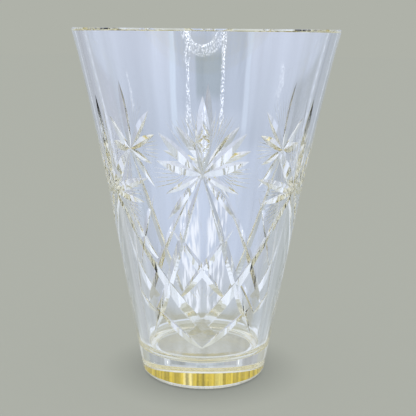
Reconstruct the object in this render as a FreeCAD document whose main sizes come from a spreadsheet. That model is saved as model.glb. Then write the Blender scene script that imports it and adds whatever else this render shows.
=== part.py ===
import FreeCAD, Part
import math
import os
import Sketcher
from FreeCAD import Matrix, Placement, Rotation, Vector

# A flared vase of clear lead glass, one solid: a straight-sided lower part, a rim that flares out,
# a thick solid base, and a pattern of V cuts ground into the outside by a bevelled wheel.
# Millimetres, +Z up, origin on the axis at the base's underside. Turn 0 faces -Y; turns are in degrees.

doc = FreeCAD.newDocument("CutGlassVase")
sheet = doc.addObject("Spreadsheet::Sheet", "Dims")

vaseDims = {
    "vaseHeight": 203.0,
    "baseRadius": 36.6,
    "rimRadius": 75.6,
    "sideAngle": 10.0,        # lean of the straight lower side, degrees from upright
    "flareHeight": 95.0,      # where the straight side turns into the flare
    "floorThickness": 16.0,
    "footWall": 6.2,          # wall at the floor, measured level
    "flareWall": 5.8,
    "rimWall": 5.0,
    "floorCorner": 7.0,       # round inside, where wall and floor meet
    "footRound": 3.6,         # polished round of the outer bottom edge
    "rimBevel": 0.8,
    "repeats": 3.0,           # high stars round the vase, with a low star between each two
    "wheelHalfAngle": 55.0,   # half of the V that the wheel grinds
    "wheelClearance": 1.4,    # how far the V stands out of the wall
}

# Every cut runs from one point of the wall to another: turn, height, turn, height, depth.
# The first kinds lie on a star's own upright line. The others come in mirrored pairs.
# Turns are counted from the high star's line, and a low star's line is half a repeat round.
middleCuts = {
    "highCrown": (0.0, 126.5, 0.0, 170.5, 2.7),
    "lowCrown": (60.0, 112.0, 60.0, 168.0, 2.4),
}
pairedCuts = {
    "highShoulder": (-1.5, 127.5, 20.8, 151.0, 2.2),
    "highSide": (-1.5, 129.0, 23.3, 136.0, 2.0),
    "highHip": (-1.5, 130.5, 19.5, 118.2, 1.3),
    "highKnee": (-1.0, 131.5, 19.7, 103.7, 1.3),
    "highStem": (-1.0, 132.5, 40.0, 33.0, 1.6),
    "lowShoulder": (58.5, 114.0, 81.0, 141.0, 2.2),
    "lowSide": (58.5, 115.3, 91.0, 126.0, 1.9),
    "lowHip": (58.5, 116.3, 87.0, 112.0, 1.5),
    "lowKnee": (59.0, 117.8, 77.5, 95.0, 1.2),
    "lowStem": (59.0, 118.5, 131.0, 36.5, 1.5),
    "upperLattice": (-18.0, 99.0, 17.0, 57.0, 1.7),
    "lowerLattice": (36.0, 51.0, -2.0, 27.0, 1.4),
}
cutCells = ("FromTurn", "FromHeight", "ToTurn", "ToHeight", "Depth")
passMargin = 2.0     # mm that the wheel runs on past each end of a cut


def writeSheet():
    rows = dict(vaseDims)
    for table in (middleCuts, pairedCuts):
        for name, numbers in table.items():
            for cell, number in zip(cutCells, numbers):
                rows[name + cell] = number
    for row, (alias, number) in enumerate(rows.items(), start=1):
        sheet.set("A%d" % row, alias)
        sheet.set("B%d" % row, str(number))
        sheet.setAlias("B%d" % row, alias)
    doc.recompute()


def dim(alias):
    return float(sheet.get(alias))


def originPart(body, role):
    return [item for item in body.Origin.OriginFeatures if item.Role == role][0]


def newSketch(body, name, role="XY_Plane"):
    sketch = body.newObject("Sketcher::SketchObject", name)
    sketch.AttachmentSupport = [(originPart(body, role), "")]
    sketch.MapMode = "FlatFace"
    return sketch


def bind(sketch, kind, places, cell, value):
    index = sketch.addConstraint(Sketcher.Constraint(kind, *places, value))
    sketch.setExpression("Constraints[%d]" % index, cell)
    return index


# The wall's outside: a line up to the flare, then an arc that leaves it without a kink.

def flareArc():
    lean = math.radians(dim("sideAngle"))
    start = Vector(dim("baseRadius") + dim("flareHeight") * math.tan(lean), 0, dim("flareHeight"))
    chord = Vector(dim("rimRadius"), 0, dim("vaseHeight")) - start
    inward = Vector(math.cos(lean), 0, -math.sin(lean))
    radius = chord.Length ** 2 / (2 * chord.dot(inward))
    return start + inward * radius, radius


def wallRadius(height):
    if height < dim("flareHeight"):
        return dim("baseRadius") + height * math.tan(math.radians(dim("sideAngle")))
    centre, radius = flareArc()
    return centre.x - math.sqrt(radius ** 2 - (height - centre.z) ** 2)


def wallPoint(turn, height):
    angle = math.radians(turn)
    radius = wallRadius(height)
    return Vector(radius * math.sin(angle), -radius * math.cos(angle), height)


def wallNormal(turn, height):
    step = 0.01
    slope = (wallRadius(height + step) - wallRadius(height - step)) / (2 * step)
    angle = math.radians(turn)
    return Vector(math.sin(angle), -math.cos(angle), -slope).normalize()


def buildBlank(body):
    sketch = newSketch(body, "VaseSection", "XZ_Plane")
    flareX = wallRadius(dim("flareHeight"))
    high = dim("vaseHeight")
    bend = dim("flareHeight")
    floor = dim("floorThickness")
    floorX = wallRadius(floor) - dim("footWall")
    innerBendX = flareX - dim("flareWall")
    rimX = dim("rimRadius")
    innerRimX = rimX - dim("rimWall")
    middle = (bend + high) / 2
    points = [
        Vector(0, 0, 0),
        Vector(dim("baseRadius"), 0, 0),
        Vector(flareX, bend, 0),
        Vector(rimX, high, 0),
        Vector(innerRimX, high, 0),
        Vector(innerBendX, bend, 0),
        Vector(floorX, floor, 0),
        Vector(0, floor, 0),
    ]
    outerMiddle = Vector(wallRadius(middle), middle, 0)
    innerMiddle = Vector(wallRadius(middle) - (dim("flareWall") + dim("rimWall")) / 2, middle, 0)
    sketch.addGeometry(Part.LineSegment(points[0], points[1]))
    sketch.addGeometry(Part.LineSegment(points[1], points[2]))
    sketch.addGeometry(Part.Arc(points[2], outerMiddle, points[3]))
    sketch.addGeometry(Part.LineSegment(points[3], points[4]))
    sketch.addGeometry(Part.Arc(points[4], innerMiddle, points[5]))
    sketch.addGeometry(Part.LineSegment(points[5], points[6]))
    sketch.addGeometry(Part.LineSegment(points[6], points[7]))
    sketch.addGeometry(Part.LineSegment(points[7], points[0]))
    # each edge's first and last point number, in drawing order; an arc is always drawn anticlockwise
    ends = [(1, 2)] * 8
    for arc in (2, 4):
        if (sketch.getPoint(arc, 1) - points[arc]).Length > (sketch.getPoint(arc, 2) - points[arc]).Length:
            ends[arc] = (2, 1)
    for edge in range(8):
        after = (edge + 1) % 8
        join = "Tangent" if edge in (1, 4) else "Coincident"     # no kink where line and arc meet
        sketch.addConstraint(Sketcher.Constraint(join, edge, ends[edge][1], after, ends[after][0]))
    sketch.addConstraint(Sketcher.Constraint("Coincident", 0, 1, -1, 1))
    sketch.addConstraint(Sketcher.Constraint("Vertical", 7))
    for level in (0, 3, 6):
        sketch.addConstraint(Sketcher.Constraint("Horizontal", level))
    outline = {
        "baseRadius": ("DistanceX", 0, 1, 0, 2),
        "flareHeight": ("DistanceY", 1, 1, 1, 2),
        "vaseHeight": ("DistanceY", -1, 1, 3, 1),
        "rimRadius": ("DistanceX", -1, 1, 3, 1),
        "rimWall": ("DistanceX", 3, 2, 3, 1),
        "floorThickness": ("DistanceY", -1, 1, 6, 2),
    }
    for alias, (kind, *places) in outline.items():
        bind(sketch, kind, places, "Dims." + alias, dim(alias))
    bind(sketch, "DistanceX", (1, 1, 1, 2), "Dims.flareHeight * tan(Dims.sideAngle * 1 deg)",
         flareX - dim("baseRadius"))
    sketch.addConstraint(Sketcher.Constraint("Horizontal", 4, ends[4][1], 1, 2))
    bind(sketch, "DistanceX", (4, ends[4][1], 1, 2), "Dims.flareWall", dim("flareWall"))
    bind(sketch, "DistanceX", (6, 2, 6, 1),
         "Dims.baseRadius + Dims.floorThickness * tan(Dims.sideAngle * 1 deg) - Dims.footWall", floorX)
    turned = body.newObject("PartDesign::Revolution", "Blank")
    turned.Profile = sketch
    turned.ReferenceAxis = (sketch, ["V_Axis"])
    turned.Angle = 360.0
    doc.recompute()
    return turned


def edgesAt(shape, radius, height):
    found = []
    for number, edge in enumerate(shape.Edges, start=1):
        box = edge.BoundBox
        if abs(box.ZMin - height) < 0.01 and abs(box.ZMax - height) < 0.01 and abs(box.XMax - radius) < 0.05:
            found.append("Edge%d" % number)
    return found


def roundEdges(body, base, kind, name, places, cell):
    names = []
    for radius, height in places:
        names += edgesAt(base.Shape, radius, height)
    edge = body.newObject("PartDesign::" + kind, name)
    edge.Base = (base, names)
    setting = "Radius" if kind == "Fillet" else "Size"
    setattr(edge, setting, dim(cell))
    edge.setExpression(setting, "Dims." + cell)
    doc.recompute()
    return edge


# One pass of the wheel leaves a V whose bottom is an arc. A short cut's arc dips into the wall, with the
# wheel outside it. A long cut's arc follows the wall round, because the glass is rolled along the wheel.

def wheelPass(name):
    begin = wallPoint(dim(name + "FromTurn"), dim(name + "FromHeight"))
    end = wallPoint(dim(name + "ToTurn"), dim(name + "ToHeight"))
    along = (end - begin).normalize()
    middle = (begin + end) * 0.5
    half = (end - begin).Length / 2
    outward = wallNormal(math.degrees(math.atan2(middle.x, -middle.y)), middle.z)
    outward = (outward - along * outward.dot(along)).normalize()
    low = -5.0
    high = 30.0
    while high - low > 0.0001:
        bulge = (low + high) / 2
        probe = middle + outward * bulge
        if math.hypot(probe.x, probe.y) < wallRadius(probe.z):
            low = bulge
        else:
            high = bulge
    rise = bulge - dim(name + "Depth")
    radius = (half ** 2 + rise ** 2) / (2 * abs(rise))
    side = 1 if rise > 0 else -1
    spindle = middle + outward * (rise - side * radius)
    sweep = math.degrees(math.asin(half / radius) + passMargin / radius)
    return spindle, along, outward, side, radius, sweep


def addCut(body, name):
    spindle, along, outward, side, radius, sweep = wheelPass(name)
    toGlass = outward * side
    sketch = newSketch(body, name + "Vee")
    across = toGlass.cross(along)
    frame = Matrix(across.x, toGlass.x, along.x, spindle.x,
                   across.y, toGlass.y, along.y, spindle.y,
                   across.z, toGlass.z, along.z, spindle.z,
                   0, 0, 0, 1)
    sketch.AttachmentOffset = Placement(frame)
    tall = dim(name + "Depth") + dim("wheelClearance")
    wide = tall * math.tan(math.radians(dim("wheelHalfAngle")))
    tip = Vector(0, radius, 0)
    left = Vector(-wide, radius + side * tall, 0)
    right = Vector(wide, radius + side * tall, 0)
    sketch.addGeometry(Part.LineSegment(tip, left))
    sketch.addGeometry(Part.LineSegment(left, right))
    sketch.addGeometry(Part.LineSegment(right, tip))
    for edge in range(3):
        sketch.addConstraint(Sketcher.Constraint("Coincident", edge, 2, (edge + 1) % 3, 1))
    sketch.addConstraint(Sketcher.Constraint("PointOnObject", 0, 1, -2))
    sketch.addConstraint(Sketcher.Constraint("Symmetric", 0, 2, 1, 2, -2))
    sketch.addConstraint(Sketcher.Constraint("DistanceY", -1, 1, 0, 1, radius))
    height = "Dims.%sDepth + Dims.wheelClearance" % name
    lowEnd, highEnd = ((0, 1), (0, 2)) if side > 0 else ((0, 2), (0, 1))
    bind(sketch, "DistanceY", (*lowEnd, *highEnd), height, tall)
    bind(sketch, "DistanceX", (1, 1, 1, 2), "2 * (%s) * tan(Dims.wheelHalfAngle * 1 deg)" % height, 2 * wide)
    cut = body.newObject("PartDesign::Groove", name)
    cut.Profile = sketch
    cut.ReferenceAxis = (sketch, ["H_Axis"])
    cut.Midplane = True
    cut.Angle = 2 * sweep
    return cut


def addRepeat(body, name, originals, mirrored):
    repeat = body.newObject("PartDesign::MultiTransform", name)
    repeat.Originals = originals
    steps = []
    if mirrored:
        mirror = body.newObject("PartDesign::Mirrored", name + "Mirror")
        mirror.MirrorPlane = (originPart(body, "YZ_Plane"), [""])
        steps.append(mirror)
    polar = body.newObject("PartDesign::PolarPattern", name + "Ring")
    polar.Axis = (originPart(body, "Z_Axis"), [""])
    polar.Angle = 360.0
    polar.Occurrences = int(dim("repeats"))
    steps.append(polar)
    repeat.Transformations = steps
    body.Tip = repeat
    return repeat


def buildVase():
    body = doc.addObject("PartDesign::Body", "VaseBody")
    body.Label = "glass_vase"
    blank = buildBlank(body)
    floor = dim("floorThickness")
    corner = wallRadius(floor) - dim("footWall")
    softened = roundEdges(body, blank, "Fillet", "FootRound", [(dim("baseRadius"), 0)], "footRound")
    softened = roundEdges(body, softened, "Fillet", "FloorCorner", [(corner, floor)], "floorCorner")
    rims = [(dim("rimRadius"), dim("vaseHeight")), (dim("rimRadius") - dim("rimWall"), dim("vaseHeight"))]
    softened = roundEdges(body, softened, "Chamfer", "RimBevel", rims, "rimBevel")
    for mirrored, table in ((False, middleCuts), (True, pairedCuts)):
        for name in table:
            before = body.Shape.Volume
            cut = addCut(body, name)
            doc.recompute()
            one = body.Shape.Volume
            addRepeat(body, name + "Round", [cut], mirrored)
            doc.recompute()
            print(name, "%.1f mm3 once, %.1f mm3 in all" % (before - one, before - body.Shape.Volume))
    return body


def checkModel(bodies):
    for item in doc.Objects:
        if "Invalid" in item.State or "Error" in item.State:
            raise RuntimeError("%s failed: %s" % (item.Name, item.State))
    for body in bodies:
        shape = body.Shape
        if shape.isNull() or not shape.isValid() or len(shape.Solids) != 1:
            raise RuntimeError("%s has no single valid solid" % body.Label)


writeSheet()
vase = buildVase()
checkModel([vase])
os.makedirs("parts", exist_ok=True)
vase.Shape.exportStep("parts/%s.step" % vase.Label)
print("glass_vase: %.0f mm3, %d faces" % (vase.Shape.Volume, len(vase.Shape.Faces)))
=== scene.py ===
import bmesh
import bpy
import math
from mathutils import Matrix, Vector


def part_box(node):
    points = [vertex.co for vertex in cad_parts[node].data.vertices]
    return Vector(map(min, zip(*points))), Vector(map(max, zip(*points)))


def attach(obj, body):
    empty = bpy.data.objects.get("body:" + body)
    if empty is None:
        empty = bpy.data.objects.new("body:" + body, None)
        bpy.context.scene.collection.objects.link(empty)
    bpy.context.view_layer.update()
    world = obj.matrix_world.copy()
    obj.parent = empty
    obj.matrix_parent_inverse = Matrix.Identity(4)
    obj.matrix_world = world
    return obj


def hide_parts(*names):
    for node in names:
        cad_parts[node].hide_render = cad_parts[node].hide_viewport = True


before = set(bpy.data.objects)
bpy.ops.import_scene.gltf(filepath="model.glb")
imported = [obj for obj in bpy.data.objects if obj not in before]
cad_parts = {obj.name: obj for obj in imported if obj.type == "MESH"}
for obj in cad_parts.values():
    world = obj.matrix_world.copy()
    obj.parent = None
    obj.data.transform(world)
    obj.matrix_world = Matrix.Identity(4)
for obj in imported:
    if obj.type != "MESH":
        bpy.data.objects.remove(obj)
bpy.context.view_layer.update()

mm = 0.001
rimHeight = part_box("glass_vase")[1].z

# the blown shape, before any cutting
blank = {
    "baseRadius": 36.6 * mm,
    "rimRadius": 75.6 * mm,
    "sideAngle": math.radians(10),     # lean of the straight lower side
    "flareHeight": 95 * mm,            # the side starts to flare here
    "floorThickness": 16 * mm,
    "footWall": 6.2 * mm,
    "flareWall": 5.8 * mm,
    "rimWall": 5.0 * mm,
    "floorCorner": 7 * mm,
    "footRound": 3.6 * mm,
    "rimBevel": 0.8 * mm,
    "facets": 240,                     # round the axis
    "rowHeight": 3.6 * mm,
    "undersideRings": (10 * mm, 20 * mm, 28 * mm),
    "floorRings": (20 * mm, 10 * mm),
    "footSteps": 8,                    # along the foot's round
    "footSight": 20 * mm,              # a height on the wall that the foot's round runs up to
    "cornerSteps": 10,                 # along the round between wall and floor
    "cornerSight": 30 * mm,
}


def flareArc():
    lean = blank["sideAngle"]
    start = Vector((blank["baseRadius"] + blank["flareHeight"] * math.tan(lean), blank["flareHeight"]))
    chord = Vector((blank["rimRadius"], rimHeight)) - start
    inward = Vector((math.cos(lean), -math.sin(lean)))
    radius = chord.length_squared / (2 * chord.dot(inward))
    return start + inward * radius, radius


arcCentre, arcRadius = flareArc()


def wallRadius(height):
    if height < blank["flareHeight"]:
        return blank["baseRadius"] + height * math.tan(blank["sideAngle"])
    return arcCentre.x - math.sqrt(arcRadius ** 2 - (height - arcCentre.y) ** 2)


def wallSlope(height):
    if height < blank["flareHeight"]:
        return math.tan(blank["sideAngle"])
    rise = height - arcCentre.y
    return rise / math.sqrt(arcRadius ** 2 - rise ** 2)


def wallPoint(turn, height):
    radius = wallRadius(height)
    return Vector((radius * math.sin(turn), -radius * math.cos(turn), height))


def wallNormal(turn, height):
    return Vector((math.sin(turn), -math.cos(turn), -wallSlope(height))).normalized()


def innerRadius(height):
    bend = blank["flareHeight"]
    if height < bend:
        low = blank["floorThickness"]
        share = (height - low) / (bend - low)
        wall = blank["footWall"] + (blank["flareWall"] - blank["footWall"]) * share
    else:
        share = (height - bend) / (rimHeight - bend)
        wall = blank["flareWall"] + (blank["rimWall"] - blank["flareWall"]) * share
    return wallRadius(height) - wall


def roundedCorner(before, corner, after, radius, steps):
    inDir = (before - corner).normalized()
    outDir = (after - corner).normalized()
    half = inDir.angle(outDir) / 2
    reach = radius / math.tan(half)
    centre = corner + (inDir + outDir).normalized() * (radius / math.sin(half))
    first = corner + inDir * reach - centre
    last = corner + outDir * reach - centre
    sweep = first.angle(last)
    points = []
    for step in range(steps + 1):
        share = step / steps
        arm = first * math.sin((1 - share) * sweep) + last * math.sin(share * sweep)
        points.append(centre + arm / math.sin(sweep))
    return points


def levels(low, high, step):
    count = max(1, round((high - low) / step))
    return [low + (high - low) * (number + 0.5) / count for number in range(count)]


def vaseOutline():
    floor = blank["floorThickness"]
    bevel = blank["rimBevel"]
    baseCorner = Vector((blank["baseRadius"], 0))
    floorCorner = Vector((innerRadius(floor), floor))
    footSight = Vector((wallRadius(blank["footSight"]), blank["footSight"]))
    cornerSight = Vector((innerRadius(blank["cornerSight"]), blank["cornerSight"]))
    points = [Vector((radius, 0)) for radius in (0, *blank["undersideRings"])]
    footArc = roundedCorner(Vector((0, 0)), baseCorner, footSight, blank["footRound"], blank["footSteps"])
    points += footArc
    outer = levels(footArc[-1].y, rimHeight - bevel, blank["rowHeight"])
    points += [Vector((wallRadius(height), height)) for height in outer]
    points.append(Vector((wallRadius(rimHeight - bevel), rimHeight - bevel)))
    points.append(Vector((blank["rimRadius"] - bevel, rimHeight)))
    points.append(Vector((blank["rimRadius"] - blank["rimWall"] + bevel, rimHeight)))
    points.append(Vector((innerRadius(rimHeight - bevel), rimHeight - bevel)))
    floorArc = roundedCorner(cornerSight, floorCorner, Vector((0, floor)),
                             blank["floorCorner"], blank["cornerSteps"])
    inner = levels(floorArc[0].y, rimHeight - bevel, blank["rowHeight"])
    points += [Vector((innerRadius(height), height)) for height in reversed(inner)]
    points += floorArc
    points += [Vector((radius, floor)) for radius in (*blank["floorRings"], 0)]
    return points


def turnedMesh(name, outline, facets):
    verts = []
    rings = []
    for point in outline:
        if point.x < 0.001 * mm:
            rings.append([len(verts)])
            verts.append((0, 0, point.y))
            continue
        rings.append(list(range(len(verts), len(verts) + facets)))
        for facet in range(facets):
            turn = 2 * math.pi * facet / facets
            verts.append((point.x * math.sin(turn), -point.x * math.cos(turn), point.y))
    faces = []
    for lower, upper in zip(rings, rings[1:]):
        for facet in range(facets):
            after = (facet + 1) % facets
            if len(lower) == 1:
                faces.append((lower[0], upper[after], upper[facet]))
            elif len(upper) == 1:
                faces.append((lower[facet], lower[after], upper[0]))
            else:
                faces.append((lower[facet], lower[after], upper[after], upper[facet]))
    mesh = bpy.data.meshes.new(name)
    mesh.from_pydata(verts, [], faces)
    mesh.update()
    outwards(mesh)
    return mesh


def outwards(mesh):
    solid = bmesh.new()
    solid.from_mesh(mesh)
    bmesh.ops.recalc_face_normals(solid, faces=solid.faces)
    solid.to_mesh(mesh)
    solid.free()


# every cut: turn and height where the wheel goes in, turn and height where it comes out, depth;
# turns in degrees, counted from a high star, and lengths in millimetres
cutting = {
    "halfAngle": math.radians(55),
    "clearance": 1.4 * mm,
    "passMargin": 2 * mm,
    "repeats": 3,
    "stepLength": 2.2 * mm,            # along the arc that a pass leaves
    "fewestSteps": 8,
    "leastBulge": -5 * mm,             # how far the wall can stand out past a cut's straight chord
    "mostBulge": 30 * mm,
    "precision": 0.0001 * mm,
    "middleCuts": {
        "highCrown": (0, 126.5, 0, 170.5, 2.7),
        "lowCrown": (60, 112, 60, 168, 2.4),
    },
    "pairedCuts": {
        "highShoulder": (-1.5, 127.5, 20.8, 151, 2.2),
        "highSide": (-1.5, 129, 23.3, 136, 2.0),
        "highHip": (-1.5, 130.5, 19.5, 118.2, 1.3),
        "highKnee": (-1, 131.5, 19.7, 103.7, 1.3),
        "highStem": (-1, 132.5, 40, 33, 1.6),
        "lowShoulder": (58.5, 114, 81, 141, 2.2),
        "lowSide": (58.5, 115.3, 91, 126, 1.9),
        "lowHip": (58.5, 116.3, 87, 112, 1.5),
        "lowKnee": (59, 117.8, 77.5, 95, 1.2),
        "lowStem": (59, 118.5, 131, 36.5, 1.5),
        "upperLattice": (-18, 99, 17, 57, 1.7),
        "lowerLattice": (36, 51, -2, 27, 1.4),
    },
}


# One pass leaves a V whose bottom is an arc. A short cut's arc dips into the wall, with the wheel outside
# it. A long cut's arc follows the wall round, because the glass is rolled along the wheel.
def wheelPass(begin, end, depth):
    along = (end - begin).normalized()
    middle = (begin + end) / 2
    half = (end - begin).length / 2
    outward = wallNormal(math.atan2(middle.x, -middle.y), middle.z)
    outward = (outward - along * outward.dot(along)).normalized()
    low, high = cutting["leastBulge"], cutting["mostBulge"]
    while high - low > cutting["precision"]:
        bulge = (low + high) / 2
        probe = middle + outward * bulge
        if math.hypot(probe.x, probe.y) < wallRadius(probe.z):
            low = bulge
        else:
            high = bulge
    rise = bulge - depth
    radius = (half ** 2 + rise ** 2) / (2 * abs(rise))
    side = 1 if rise > 0 else -1
    spindle = middle + outward * (rise - side * radius)
    sweep = math.asin(half / radius) + cutting["passMargin"] / radius
    return spindle, along, outward * side, side, radius, sweep


# fans of fine lines between the leaves: star's turn and height, angles off upright, reach from and to;
# turns and angles in degrees, heights, reaches and depth in millimetres
fans = {
    "halfAngle": math.radians(40),
    "clearance": 0.25 * mm,
    "depth": 0.22,
    "highUpper": (0, 129.5, (10, 15, 20, 25, 30, 35), 13, 34),
    "highSide": (0, 129.5, (84, 90, 96, 102, 108), 12, 27),
    "lowUpper": (60, 116, (9, 14, 19, 24, 29), 14, 36),
    "lowSide": (60, 116, (79, 84, 89), 13, 28),
    "lowHip": (60, 116, (108, 114, 120, 126, 132), 12, 26),
    "diamond": (0, 55.5, (0, 14, 28, 42), 3, 12),
}


def fanCuts(turn, height, angles, begin, end):
    cuts = []
    for angle in angles:
        lean = math.radians(angle)
        ends = []
        for reach in (begin, end):
            rise = height + reach * math.cos(lean)
            ends += [turn + math.degrees(reach * math.sin(lean) * mm / wallRadius(rise * mm)), rise]
        cuts.append((*ends, fans["depth"]))
    return cuts


def veeSolid(verts, faces, begin, end, depth, shape):
    spindle, along, toGlass, side, radius, sweep = wheelPass(begin, end, depth)
    across = toGlass.cross(along)
    tall = depth + shape["clearance"]
    wide = tall * math.tan(shape["halfAngle"])
    steps = max(cutting["fewestSteps"], round((end - begin).length / cutting["stepLength"]))
    first = len(verts)
    for step in range(steps + 1):
        angle = sweep * (2 * step / steps - 1)
        arm = toGlass * math.cos(angle) + along * math.sin(angle)
        back = spindle + arm * (radius + side * tall)
        verts += [spindle + arm * radius, back + across * wide, back - across * wide]
    last = first + 3 * steps
    for step in range(steps):
        here = first + 3 * step
        for edge in range(3):
            after = (edge + 1) % 3
            faces.append((here + edge, here + 3 + edge, here + 3 + after, here + after))
    faces.append((first, first + 1, first + 2))
    faces.append((last + 2, last + 1, last))


def wheelTool(name, cuts, mirrors, shape):
    verts, faces = [], []
    for repeat in range(cutting["repeats"]):
        offset = 360 / cutting["repeats"] * repeat
        for mirror in mirrors:
            for cut in cuts:
                begin = wallPoint(math.radians(mirror * cut[0] + offset), cut[1] * mm)
                end = wallPoint(math.radians(mirror * cut[2] + offset), cut[3] * mm)
                veeSolid(verts, faces, begin, end, cut[4] * mm, shape)
    mesh = bpy.data.meshes.new(name)
    mesh.from_pydata(verts, [], faces)
    mesh.update()
    outwards(mesh)
    return mesh


def carve(glass, cuts, mirrors, shape):
    mesh = wheelTool("wheelPass", cuts, mirrors, shape)
    wheel = bpy.data.objects.new("wheelPass", mesh)
    bpy.context.scene.collection.objects.link(wheel)
    ground = glass.modifiers.new("grind", "BOOLEAN")
    ground.operation = "DIFFERENCE"
    ground.solver = "MANIFOLD"
    ground.object = wheel
    cutMesh = bpy.data.meshes.new_from_object(glass.evaluated_get(bpy.context.evaluated_depsgraph_get()))
    glass.modifiers.clear()
    worn = glass.data
    glass.data = cutMesh
    bpy.data.meshes.remove(worn)
    bpy.data.objects.remove(wheel)
    bpy.data.meshes.remove(mesh)


# what tells the blown wall from a ground cut, once the glass is carved
polishing = {
    "wallMiss": 0.1 * mm,              # how far off the drawn wall a face of it may lie
    "wallTilt": math.radians(8),
    "deepestCut": 3.2 * mm,
    "edgeAngle": math.radians(14),
}


def wallLike(polygon):
    centre = polygon.center
    if centre.z < blank["footRound"] or centre.z > rimHeight - blank["rimBevel"]:
        return False
    reach = math.hypot(centre.x, centre.y)
    if abs(reach - wallRadius(centre.z)) > polishing["wallMiss"]:
        return False
    turn = math.atan2(centre.x, -centre.y)
    return polygon.normal.dot(wallNormal(turn, centre.z)) > math.cos(polishing["wallTilt"])


def polish(mesh):
    for polygon in mesh.polygons:
        polygon.use_smooth = True
    mesh.set_sharp_from_angle(angle=polishing["edgeAngle"])
    normals = [Vector(corner.vector) for corner in mesh.corner_normals]
    ground = mesh.attributes.new("groundCut", "FLOAT", "FACE")
    for polygon in mesh.polygons:
        centre = polygon.center
        outside = math.hypot(centre.x, centre.y) > wallRadius(centre.z) - polishing["deepestCut"]
        if wallLike(polygon):
            for corner in polygon.loop_indices:
                place = mesh.vertices[mesh.loops[corner].vertex_index].co
                normals[corner] = wallNormal(math.atan2(place.x, -place.y), place.z)
        elif outside and blank["footRound"] < centre.z < rimHeight - blank["rimBevel"]:
            ground.data[polygon.index].value = 1.0
    mesh.normals_split_custom_set(normals)


def cutGlass():
    mesh = turnedMesh("glassBody", vaseOutline(), blank["facets"])
    glass = bpy.data.objects.new("glassBody", mesh)
    bpy.context.scene.collection.objects.link(glass)
    for cut in cutting["middleCuts"].values():
        carve(glass, [cut], [1], cutting)
    for cut in cutting["pairedCuts"].values():
        for mirror in (1, -1):
            carve(glass, [cut], [mirror], cutting)
    for fan in fans.values():
        if isinstance(fan, tuple):
            for mirror in (1, -1):
                carve(glass, fanCuts(*fan), [mirror], fans)
    polish(glass.data)
    return glass


def node(tree, kind, **settings):
    made = tree.nodes.new(kind)
    for name, value in settings.items():
        setattr(made, name, value)
    return made


def maths(tree, operation, first, second=0.0):
    made = node(tree, "ShaderNodeMath", operation=operation)
    for socket, value in zip(made.inputs, (first, second)):
        if isinstance(value, (int, float)):
            socket.default_value = value
        else:
            tree.links.new(value, socket)
    return made.outputs[0]


def blend(tree, share, first, second):
    made = node(tree, "ShaderNodeMix", data_type="RGBA")
    for name, value in (("Factor", share), ("A", first), ("B", second)):
        if isinstance(value, (tuple, int, float)):
            made.inputs[name].default_value = value
        else:
            tree.links.new(value, made.inputs[name])
    return made.outputs["Result"]


lookGlass = {
    "ior": 1.55,
    "tint": (0.957, 0.92, 0.74, 1),      # what a thick piece turns white light towards
    "tintDensity": 12,
    "wallWave": 0.035 * mm,               # slow ripples in the blown wall
    "wheelMark": 0.008 * mm,              # fine scratches left in the cuts
    "chatter": 0.003 * mm,                # ripples where the wheel bounced
    "chatterPitch": 2.4 * mm,
    "cutRoughness": 0.05,
    "wallRoughness": 0.012,
    # noises: stretch along each axis, size, detail
    "smudge": ((1, 1, 0.6), 35, 3),
    "grain": ((1, 1, 1), 600, 2),
    "wave": ((1, 1, 0.22), 70, 1),
}


def noise(tree, place, stretch, size, detail):
    shift = node(tree, "ShaderNodeMapping")
    shift.inputs["Scale"].default_value = stretch
    tree.links.new(place, shift.inputs["Vector"])
    made = node(tree, "ShaderNodeTexNoise")
    made.inputs["Scale"].default_value = size
    made.inputs["Detail"].default_value = detail
    tree.links.new(shift.outputs[0], made.inputs["Vector"])
    return made.outputs["Fac"]


def relief(tree, height, depth, under=None):
    made = node(tree, "ShaderNodeBump")
    made.inputs["Distance"].default_value = depth
    tree.links.new(height, made.inputs["Height"])
    if under:
        tree.links.new(under, made.inputs["Normal"])
    return made.outputs["Normal"]


def leadGlass():
    material = bpy.data.materials.new("leadGlass")
    material.use_nodes = True
    tree = material.node_tree
    shader = tree.nodes["Principled BSDF"]
    shader.inputs["Base Color"].default_value = (1, 1, 1, 1)
    shader.inputs["Transmission Weight"].default_value = 1
    shader.inputs["IOR"].default_value = lookGlass["ior"]
    place = node(tree, "ShaderNodeTexCoord").outputs["Object"]
    ground = node(tree, "ShaderNodeAttribute", attribute_name="groundCut").outputs["Fac"]
    axes = node(tree, "ShaderNodeSeparateXYZ")
    tree.links.new(place, axes.inputs[0])
    # the wall is nearly polished, the cuts keep a trace of the wheel
    smudge = noise(tree, place, *lookGlass["smudge"])
    wallRough = maths(tree, "MULTIPLY", smudge, lookGlass["wallRoughness"])
    grain = noise(tree, place, *lookGlass["grain"])
    cutRough = maths(tree, "MULTIPLY", grain, 2 * lookGlass["cutRoughness"])
    cutRough = maths(tree, "MULTIPLY", cutRough, ground)
    tree.links.new(maths(tree, "MAXIMUM", wallRough, cutRough), shader.inputs["Roughness"])
    # slow upright waves in the wall, ripples and scratches in the cuts
    wave = noise(tree, place, *lookGlass["wave"])
    polished = maths(tree, "MULTIPLY", wave, maths(tree, "SUBTRACT", 1.0, ground))
    ripple = maths(tree, "MULTIPLY", axes.outputs["Z"], 2 * math.pi / lookGlass["chatterPitch"])
    ripple = maths(tree, "SINE", ripple)
    normal = relief(tree, polished, lookGlass["wallWave"])
    normal = relief(tree, maths(tree, "MULTIPLY", ripple, ground), lookGlass["chatter"], normal)
    normal = relief(tree, maths(tree, "MULTIPLY", grain, ground), lookGlass["wheelMark"], normal)
    tree.links.new(normal, shader.inputs["Normal"])
    depth = node(tree, "ShaderNodeVolumeAbsorption")
    depth.inputs["Color"].default_value = lookGlass["tint"]
    depth.inputs["Density"].default_value = lookGlass["tintDensity"]
    tree.links.new(depth.outputs[0], tree.nodes["Material Output"].inputs["Volume"])
    return material


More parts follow.
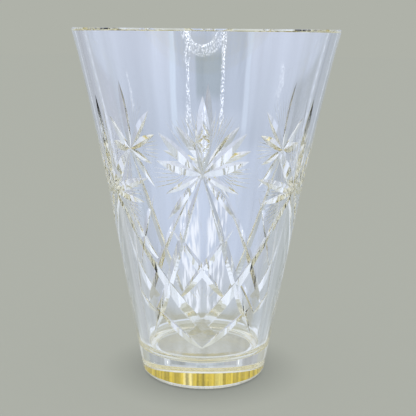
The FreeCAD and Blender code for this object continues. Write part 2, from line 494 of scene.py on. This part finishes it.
studio = {
    "backdrop": (0.429, 0.445, 0.397, 1),
    "daylight": 1.0,
    "floorSides": 96,
    "floorRadius": 6,
    "floorRoughness": 0.9,
    "floorDrop": 0.3 * mm,
    "facing": 1.2,                        # degrees that the room is turned, to sit square to the camera
    "floorGlow": 0.8,                     # share of the floor's tone that glows evenly and that no lamp or real shadow changes; a painted contact shadow darkens it
    "paintedShadowReach": 26 * mm,              # how far the painted contact shadow spreads
    # colour of the painted contact shadow, mixed into the floor's glow
    "paintedShadowTone": (0.20, 0.21, 0.19, 1),
    "sky": [                              # how high it is seen, in degrees, and its colour there
        (-80, (0.66, 0.62, 0.42, 1)),
        (-62, (0.70, 0.72, 0.66, 1)),
        (-48, (0.80, 0.88, 1.00, 1)),
        (-32, (0.80, 0.88, 1.02, 1)),
        (-24, (0.54, 0.59, 0.62, 1)),
        (-20, (0.50, 0.55, 0.60, 1)),
        (-16, (0.53, 0.59, 0.72, 1)),
        (-13, (0.48, 0.56, 0.70, 1)),
        (-8, (0.47, 0.54, 0.69, 1)),
        (-5, (0.53, 0.60, 0.76, 1)),
        (-2, (0.58, 0.645, 0.81, 1)),
        (5, (0.58, 0.64, 0.80, 1)),
        (30, (0.80, 0.86, 1.00, 1)),
        (60, (0.95, 1.00, 1.10, 1)),
    ],
    # soft panels: turn from, to, softness, height from, to, softness, colour
    "panels": {
        "farLeft": (-110, -64, 8, -60, 12, 8, (0.78, 0.84, 0.98, 1)),
        "farRight": (64, 110, 8, -60, 12, 8, (0.80, 0.87, 1.02, 1)),
        "midLeft": (-60, -38, 4, -30, 20, 4, (0.55, 0.59, 0.64, 1)),
        "midRight": (38, 60, 4, -30, 20, 4, (0.52, 0.57, 0.62, 1)),
        "sideLeft": (-21, -14, 2, -14, -6, 1.5, (0.46, 0.50, 0.62, 1)),
        "sideRight": (12, 21, 2, -14, -6, 1.5, (0.39, 0.44, 0.53, 1)),
        "edgeLeft": (-45, -22, 2, -15, 15, 2, (0.48, 0.52, 0.63, 1)),
        "edgeRight": (22, 45, 2, -15, 15, 2, (0.43, 0.48, 0.58, 1)),
        "leafLeft": (-26.5, -22.5, 1, -15, 15, 2, (0.66, 0.73, 0.91, 1)),
        "leafRight": (22.5, 26.5, 1, -15, 15, 2, (0.66, 0.74, 0.93, 1)),
        "halo": (-7, 7, 4, -15.5, -9.5, 1.5, (0.53, 0.61, 0.79, 1)),
        "lowLeft": (-36, -17, 4, -22.5, -15, 2, (0.47, 0.51, 0.54, 1)),
        "lowRight": (16, 36, 4, -22.5, -15, 2, (0.46, 0.51, 0.55, 1)),
        "glintLeft": (-24, -13, 1.5, -33, -24.5, 1.2, (0.92, 1.00, 1.16, 1)),
        "glintRight": (12, 26, 1.5, -33, -24.5, 1.2, (0.92, 1.00, 1.16, 1)),
        "column": (-3.0, 3.3, 0.5, -5.6, 12, 1.2, (0.46, 0.53, 0.68, 1)),
        "columnMiddle": (-1.0, 1.1, 0.3, -4.6, -2.6, 1.0, (0.34, 0.41, 0.50, 1)),
        "columnEdgeLeft": (-3.6, -3.3, 0.25, -7, 12, 1.2, (0.60, 0.70, 0.88, 1)),
        "columnEdgeRight": (3.7, 4.0, 0.25, -7, 12, 1.2, (0.60, 0.69, 0.87, 1)),
        "table": (-12, 12, 4, -27, -20.5, 1.5, (0.42, 0.43, 0.37, 1)),
        "underTable": (-24, 24, 6, -72, -44, 3, (0.46, 0.47, 0.38, 1)),
        "tableEdge": (-28, 28, 6, -44, -34.5, 2.5, (0.60, 0.63, 0.59, 1)),
        "warm": (-180, 180, 10, 22.6, 26, 0.5, (0.57, 0.46, 0.075, 1)),
        "warmGlowRight": (8, 13, 1.5, 22.3, 26, 0.8, (0.84, 0.75, 0.34, 1)),
        "warmGlowLeft": (-13, -9, 1.5, 22.3, 26, 0.8, (0.76, 0.66, 0.20, 1)),
    },
    # soft upright folds of light, fine and coarse: stretch, size, darkest, brightest
    "folds": [
        ((1, 1, 0.08), 7, 0.88, 1.10),
        ((1, 1, 0.03), 42, 0.93, 1.06),
    ],
    "foldDetail": 2,
    # upright streaks in the warm light that the base gathers: height from, to, softness
    "streaks": (21.5, 27, 0.8),
    "streakNoise": ((1, 1, 0.35), 22, 5),
    "streakTones": (0.42, 1.62),
    # gathered curtains that catch the light: turn from, to, softness, height from, to, softness
    "curtains": {
        "left": (-3.4, -1.2, 0.5, -19.5, -12.5, 1.0),
        "right": (0.4, 2.4, 0.5, -19.5, -12.5, 1.0),
    },
    "curtainNoise": ((1, 1, 0.12), 150, 1),
    "curtainGathers": (0.40, 0.62),
    "curtainTone": (0.92, 0.98, 1.12, 1),
    # strings of beads: turn from, to, softness, height from, to, softness, swing to each side, glow
    "beadStrings": {
        "left": (-2.10, -1.98, 0.10, -7.4, -0.4, 1.0, 0.5, 0.7),
        "leftAgain": (-1.86, -1.76, 0.08, -6.8, -0.4, 1.0, -0.5, 0.5),
        "right": (1.22, 1.34, 0.10, -6.6, -0.4, 1.0, 0.5, 0.5),
        "rightAgain": (1.44, 1.56, 0.10, -6.4, -0.4, 1.0, -0.5, 0.7),
        "farLeft": (-9.2, -8.9, 0.2, -6.3, -4.4, 0.6, 0.8, 0.35),
        "farRight": (8.0, 8.3, 0.2, -5.6, -3.6, 0.6, 0.8, 0.35),
    },
    # rows of even beads: turn from, to, softness, height from, to, softness
    "beadRows": {
        "innerLeft": (-23.9, -23.5, 0.12, -15, -1, 1.0),
        "innerRight": (23.9, 24.4, 0.12, -15, -1, 1.0),
        "outerLeft": (-39.4, -38.6, 0.3, 3, 12, 1.0),
        "outerRight": (38.6, 39.6, 0.3, 3, 12, 1.0),
    },
    "rowPitch": 0.85,
    "beadNoise": ((1, 1, 0.6), 760, 1),
    "beadShare": 0.53,
    "swayNoise": ((1, 1, 1), 38, 2),
    # rings of beads, half hidden by the rim: centre's turn and height, inner, outer, softness, glow
    "garlands": {
        "thread": (-0.6, -0.35, 1.28, 1.40, 0.08, 0.8),
        "fringe": (-0.5, -0.35, 1.55, 1.95, 0.15, 0.4),
    },
    "sparkle": (1.35, 1.45, 1.65, 1),
}


def studioFloor():
    sides, radius = studio["floorSides"], studio["floorRadius"]
    bpy.ops.mesh.primitive_circle_add(vertices=sides, radius=radius, fill_type="NGON")
    floor = bpy.context.object
    floor.name = "studioFloor"
    floor.location.z = -studio["floorDrop"]
    material = bpy.data.materials.new("floorWithPaintedShadow")
    material.use_nodes = True
    tree = material.node_tree
    shader = tree.nodes["Principled BSDF"]
    shader.inputs["Base Color"].default_value = studio["backdrop"]
    shader.inputs["Roughness"].default_value = studio["floorRoughness"]
    shader.inputs["Specular IOR Level"].default_value = 0.0
    # painted contact shadow: ambient occlusion darkens the floor's glowing tone near the vase
    paintedShadowMask = node(tree, "ShaderNodeAmbientOcclusion", samples=16)
    paintedShadowMask.inputs["Distance"].default_value = studio["paintedShadowReach"]
    glow = node(tree, "ShaderNodeEmission")
    tone = blend(tree, paintedShadowMask.outputs["AO"], studio["paintedShadowTone"], studio["backdrop"])
    tree.links.new(tone, glow.inputs["Color"])
    mixed = node(tree, "ShaderNodeMixShader")
    mixed.inputs["Fac"].default_value = studio["floorGlow"]
    tree.links.new(shader.outputs[0], mixed.inputs[1])
    tree.links.new(glow.outputs[0], mixed.inputs[2])
    tree.links.new(mixed.outputs[0], tree.nodes["Material Output"].inputs["Surface"])
    floor.data.materials.append(material)
    floor.visible_transmission = False


def ramp(tree, value, low, high, stops):
    share = node(tree, "ShaderNodeMapRange")
    share.inputs["From Min"].default_value = low
    share.inputs["From Max"].default_value = high
    tree.links.new(value, share.inputs["Value"])
    made = node(tree, "ShaderNodeValToRGB")
    elements = made.color_ramp.elements
    while len(elements) < len(stops):
        elements.new(0.5)
    for element, (place, colour) in zip(elements, stops):
        element.position = (place - low) / (high - low)
        element.color = colour
    tree.links.new(share.outputs["Result"], made.inputs["Fac"])
    return made.outputs["Color"]


def bump(tree, value, low, high, soft):
    # one between low and high, falling off softly outside
    rise = node(tree, "ShaderNodeMapRange", interpolation_type="SMOOTHSTEP")
    rise.inputs["From Min"].default_value = low - soft
    rise.inputs["From Max"].default_value = low
    tree.links.new(value, rise.inputs["Value"])
    fall = node(tree, "ShaderNodeMapRange", interpolation_type="SMOOTHSTEP")
    fall.inputs["From Min"].default_value = high
    fall.inputs["From Max"].default_value = high + soft
    fall.inputs["To Min"].default_value = 1
    fall.inputs["To Max"].default_value = 0
    tree.links.new(value, fall.inputs["Value"])
    return maths(tree, "MULTIPLY", rise.outputs["Result"], fall.outputs["Result"])


def shaded(tree, colour, value, low, high):
    # a noise seldom leaves the range from 0.3 to 0.7
    shade = node(tree, "ShaderNodeMapRange")
    shade.inputs["From Min"].default_value = 0.3
    shade.inputs["From Max"].default_value = 0.7
    shade.inputs["To Min"].default_value = low
    shade.inputs["To Max"].default_value = high
    tree.links.new(value, shade.inputs["Value"])
    scaled = node(tree, "ShaderNodeVectorMath", operation="SCALE")
    tree.links.new(colour, scaled.inputs[0])
    tree.links.new(shade.outputs["Result"], scaled.inputs["Scale"])
    return scaled.outputs[0]


def patch(tree, turn, rise, reach):
    # one inside a piece of the room's wall: turn from, to, softness, height from, to, softness
    return maths(tree, "MULTIPLY", bump(tree, turn, *reach[0:3]), bump(tree, rise, *reach[3:6]))


def curtains(tree, place, turn, rise, seen):
    gathers = node(tree, "ShaderNodeMapRange", interpolation_type="SMOOTHSTEP")
    gathers.inputs["From Min"].default_value = studio["curtainGathers"][0]
    gathers.inputs["From Max"].default_value = studio["curtainGathers"][1]
    tree.links.new(noise(tree, place, *studio["curtainNoise"]), gathers.inputs["Value"])
    for curtain in studio["curtains"].values():
        share = maths(tree, "MULTIPLY", patch(tree, turn, rise, curtain), gathers.outputs["Result"])
        seen = blend(tree, share, seen, studio["curtainTone"])
    return seen


def beadedShare(tree, place, turn, rise):
    beads = noise(tree, place, *studio["beadNoise"])
    beads = maths(tree, "GREATER_THAN", beads, studio["beadShare"])
    sway = maths(tree, "SUBTRACT", noise(tree, place, *studio["swayNoise"]), 0.5)
    hanging = 0.0
    for *reach, swing, glow in studio["beadStrings"].values():
        swung = maths(tree, "ADD", turn, maths(tree, "MULTIPLY", sway, 2 * swing))
        share = patch(tree, swung, rise, reach)
        hanging = maths(tree, "ADD", maths(tree, "MULTIPLY", share, glow), hanging)
    for aside, height, inner, outer, soft, glow in studio["garlands"].values():
        beside = maths(tree, "ABSOLUTE", maths(tree, "SUBTRACT", turn, aside))
        above = maths(tree, "ABSOLUTE", maths(tree, "SUBTRACT", rise, height))
        reach = maths(tree, "ADD", maths(tree, "POWER", above, 2.0), maths(tree, "POWER", beside, 2.0))
        share = bump(tree, maths(tree, "SQRT", reach), inner, outer, soft)
        hanging = maths(tree, "ADD", maths(tree, "MULTIPLY", share, glow), hanging)
    strung = maths(tree, "MULTIPLY", hanging, beads)
    pearls = maths(tree, "SINE", maths(tree, "MULTIPLY", rise, 2 * math.pi / studio["rowPitch"]))
    pearls = maths(tree, "GREATER_THAN", pearls, 0.0)
    for row in studio["beadRows"].values():
        share = maths(tree, "MULTIPLY", patch(tree, turn, rise, row), pearls)
        strung = maths(tree, "ADD", share, strung)
    return strung


def room():
    world = bpy.data.worlds.new("room")
    world.use_nodes = True
    bpy.context.scene.world = world
    tree = world.node_tree
    back = tree.nodes["Background"]
    path = node(tree, "ShaderNodeLightPath")
    place = node(tree, "ShaderNodeTexCoord").outputs["Generated"]
    axes = node(tree, "ShaderNodeSeparateXYZ")
    tree.links.new(place, axes.inputs[0])
    across, away, up = axes.outputs
    turn = maths(tree, "DEGREES", maths(tree, "ARCTAN2", across, away))
    turn = maths(tree, "ADD", turn, studio["facing"])
    rise = maths(tree, "DEGREES", maths(tree, "ARCSINE", up))
    seen = ramp(tree, rise, -90, 90, studio["sky"])
    for *reach, tone in studio["panels"].values():
        seen = blend(tree, patch(tree, turn, rise, reach), seen, tone)
    for stretch, size, low, high in studio["folds"]:
        seen = shaded(tree, seen, noise(tree, place, stretch, size, studio["foldDetail"]), low, high)
    streaked = shaded(tree, seen, noise(tree, place, *studio["streakNoise"]), *studio["streakTones"])
    seen = blend(tree, bump(tree, rise, *studio["streaks"]), seen, streaked)
    seen = curtains(tree, place, turn, rise, seen)
    seen = blend(tree, beadedShare(tree, place, turn, rise), seen, studio["sparkle"])
    # matte things see plain white light, and the camera a plain backdrop
    forDiffuse = blend(tree, path.outputs["Is Diffuse Ray"], seen, (1, 1, 1, 1))
    colour = blend(tree, path.outputs["Is Camera Ray"], forDiffuse, studio["backdrop"])
    tree.links.new(colour, back.inputs["Color"])
    back.inputs["Strength"].default_value = studio["daylight"]


viewpoint = {
    "sensor": 36,
    "lens": 72.93,
    "clipStart": 20 * mm,
    "distance": 487 * mm,
    "height": 203.4 * mm,
    "aside": 1.8 * mm,
    "pitch": math.radians(12.07),      # looking down
    "roll": math.radians(0.56),
}


def photoCamera():
    camera = bpy.data.objects.new("camera", bpy.data.cameras.new("camera"))
    bpy.context.scene.collection.objects.link(camera)
    camera.data.sensor_width = viewpoint["sensor"]
    camera.data.lens = viewpoint["lens"]
    camera.data.clip_start = viewpoint["clipStart"]
    around = Matrix.Rotation(math.radians(studio["facing"]), 3, "Z")
    pitch = viewpoint["pitch"]
    look = around @ Vector((0, math.cos(pitch), -math.sin(pitch)))
    tilt = Matrix.Rotation(viewpoint["roll"], 4, "Z").to_quaternion()
    camera.rotation_mode = "QUATERNION"
    camera.rotation_quaternion = look.to_track_quat("-Z", "Y") @ tilt
    stand = Vector((viewpoint["aside"], -viewpoint["distance"], viewpoint["height"]))
    camera.location = around @ stand
    bpy.context.scene.camera = camera


# light crosses many faces of the cuts before it leaves the glass
glassBounces = 24
bpy.context.scene.view_settings.view_transform = "Standard"
bpy.context.scene.cycles.max_bounces = glassBounces
bpy.context.scene.cycles.transmission_bounces = glassBounces
bpy.context.scene.cycles.glossy_bounces = glassBounces

glass = cutGlass()
print("glass cut:", len(glass.data.polygons), "faces")
glass.data.materials.clear()
glass.data.materials.append(leadGlass())
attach(glass, "root")
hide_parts("glass_vase")
print("glass material done")
studioFloor()
room()
photoCamera()
print("studio and camera set")
